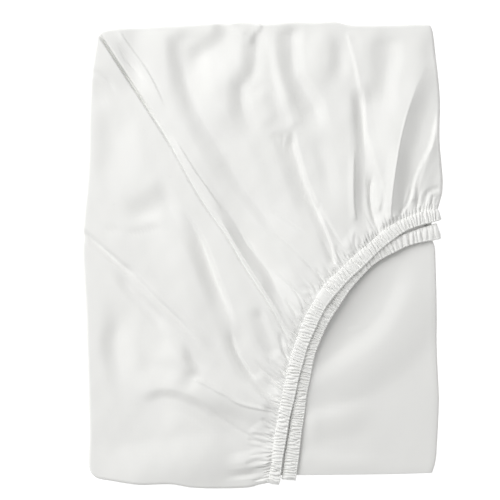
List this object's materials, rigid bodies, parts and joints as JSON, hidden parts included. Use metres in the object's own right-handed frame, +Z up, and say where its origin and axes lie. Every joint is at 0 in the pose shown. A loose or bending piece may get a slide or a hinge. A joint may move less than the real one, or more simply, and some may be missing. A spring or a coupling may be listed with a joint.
{
  "type": "fitted sheet",
  "caption": "Fitted bed sheet folded into a flat packet, with its gathered elastic edges crossing the top corner to corner.",
  "frame": {"origin": "middle of the packet's flat underside, on the surface it lies on", "axes": "+Z up through the layers, +Y along the long side towards the end with the wide pocket, +X across it towards the neat fold at the short side of the pocket"},
  "size_m": [0.3969, 0.5128, 0.0303],
  "materials": {
    "cotton_cloth": "plain woven cotton, washed and unpressed",
    "cotton_edging": "gathered cotton binding over elastic"
  },
  "bodies": {
    "root": {"folded_sheet": "cotton_cloth", "elastic_upper": "cotton_edging", "elastic_lower": "cotton_edging"}
  },
  "joints": []
}
